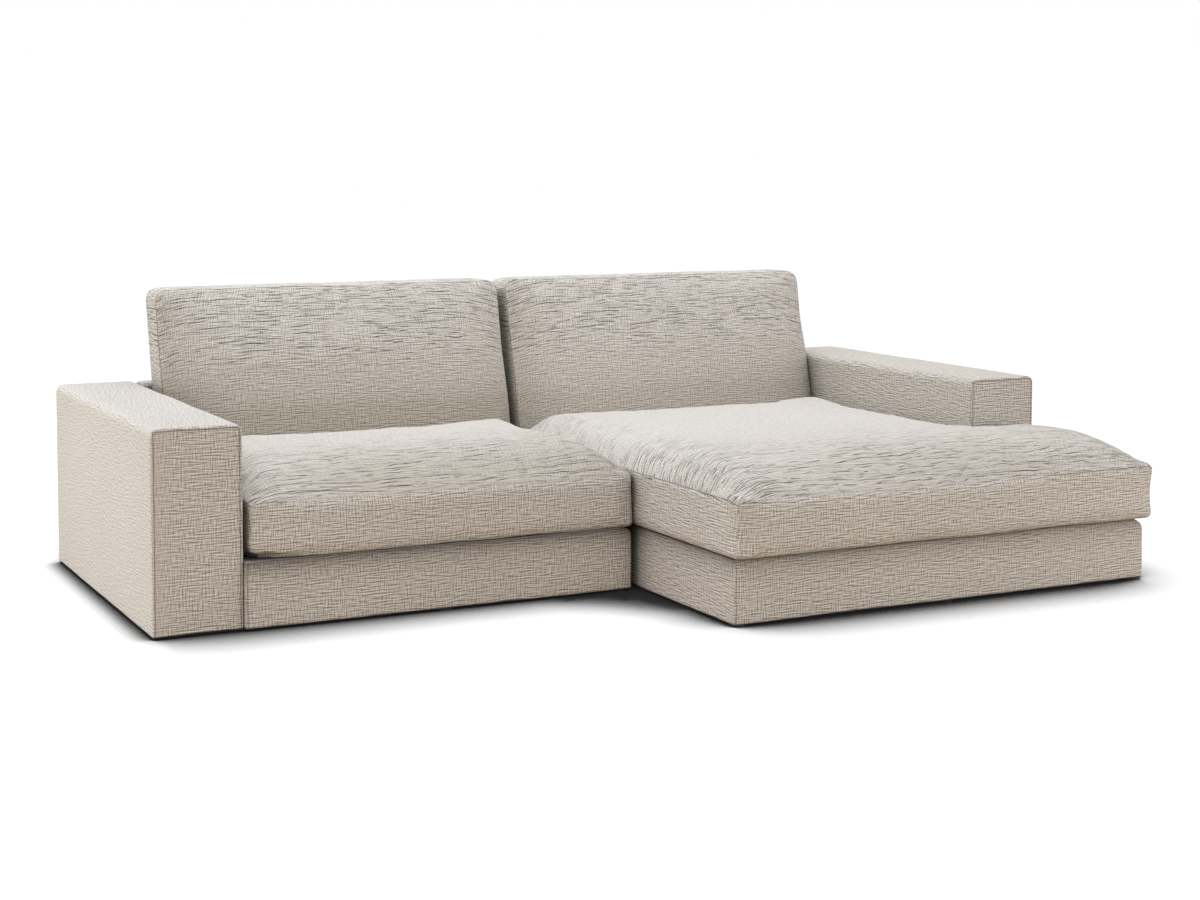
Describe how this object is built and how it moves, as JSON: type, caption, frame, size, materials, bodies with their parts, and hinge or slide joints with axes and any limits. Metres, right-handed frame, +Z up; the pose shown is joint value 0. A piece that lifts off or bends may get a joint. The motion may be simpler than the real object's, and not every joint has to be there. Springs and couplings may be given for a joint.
{
  "type": "corner sofa with chaise",
  "caption": "Low corner sofa in slub-woven fabric with block arms, loose back cushions and a seat that runs into a long chaise in front of the right arm.",
  "frame": {"origin": "on the floor, under the middle of the sofa's overall width and depth", "axes": "+X to the right along the sofa as seen from its front, +Y from the front to the back, +Z up"},
  "size_m": [2.9, 1.725, 0.8533],
  "materials": {
    "upholstery": "matte slub weave",
    "foam": "open-cell foam",
    "deck_cloth": "plain woven cloth",
    "dust_cloth": "bonded non-woven cloth",
    "webbing": "woven elastic strap",
    "timber": "planed, unfinished",
    "hardboard": "smooth board",
    "glide_plastic": "moulded, matte",
    "zip": "nylon coil",
    "steel": "zinc plated"
  },
  "bodies": {
    "frame": {"left_arm_frame": "timber", "left_arm_panels": "hardboard", "left_arm_foam": "foam", "left_arm_cover": "upholstery", "left_back_frame": "timber", "left_back_panel": "hardboard", "left_back_foam": "foam", "left_back_cover": "upholstery", "seat_base_rails": "timber", "seat_corner_blocks": "timber", "seat_webbing": "webbing", "seat_base_foam": "foam", "seat_base_cover": "upholstery", "seat_deck_cloth": "deck_cloth", "seat_dust_cover": "dust_cloth", "seat_glides": "glide_plastic", "seat_glide_screws": "steel", "seat_frame_bolts": "steel", "seat_tee_nuts": "steel", "right_arm_frame": "timber", "right_arm_panels": "hardboard", "right_arm_foam": "foam", "right_arm_cover": "upholstery", "right_back_frame": "timber", "right_back_panel": "hardboard", "right_back_foam": "foam", "right_back_cover": "upholstery", "chaise_base_rails": "timber", "chaise_corner_blocks": "timber", "chaise_webbing": "webbing", "chaise_base_foam": "foam", "chaise_base_cover": "upholstery", "chaise_deck_cloth": "deck_cloth", "chaise_dust_cover": "dust_cloth", "chaise_glides": "glide_plastic", "chaise_glide_screws": "steel", "chaise_frame_bolts": "steel", "chaise_tee_nuts": "steel", "link_plates": "steel", "link_screws": "steel"},
    "seat_cushion": {"seat_cushion_cover": "upholstery", "seat_cushion_core": "foam", "seat_cushion_zip": "zip"},
    "chaise_cushion": {"chaise_cushion_cover": "upholstery", "chaise_cushion_core": "foam", "chaise_cushion_zip": "zip"},
    "left_back_cushion": {"left_back_cushion_cover": "upholstery", "left_back_cushion_core": "foam", "left_back_cushion_zip": "zip"},
    "right_back_cushion": {"right_back_cushion_cover": "upholstery", "right_back_cushion_core": "foam", "right_back_cushion_zip": "zip"}
  },
  "joints": [
    {"name": "seat_cushion_lift", "type": "slide", "parent": "frame", "child": "seat_cushion", "axis": [0, 0, 1], "range_m": [0, 0.4]},
    {"name": "chaise_cushion_lift", "type": "slide", "parent": "frame", "child": "chaise_cushion", "axis": [0, 0, 1], "range_m": [0, 0.4]},
    {"name": "left_back_cushion_lift", "type": "slide", "parent": "frame", "child": "left_back_cushion", "axis": [0, 0, 1], "range_m": [0, 0.4]},
    {"name": "right_back_cushion_lift", "type": "slide", "parent": "frame", "child": "right_back_cushion", "axis": [0, 0, 1], "range_m": [0, 0.4]}
  ]
}
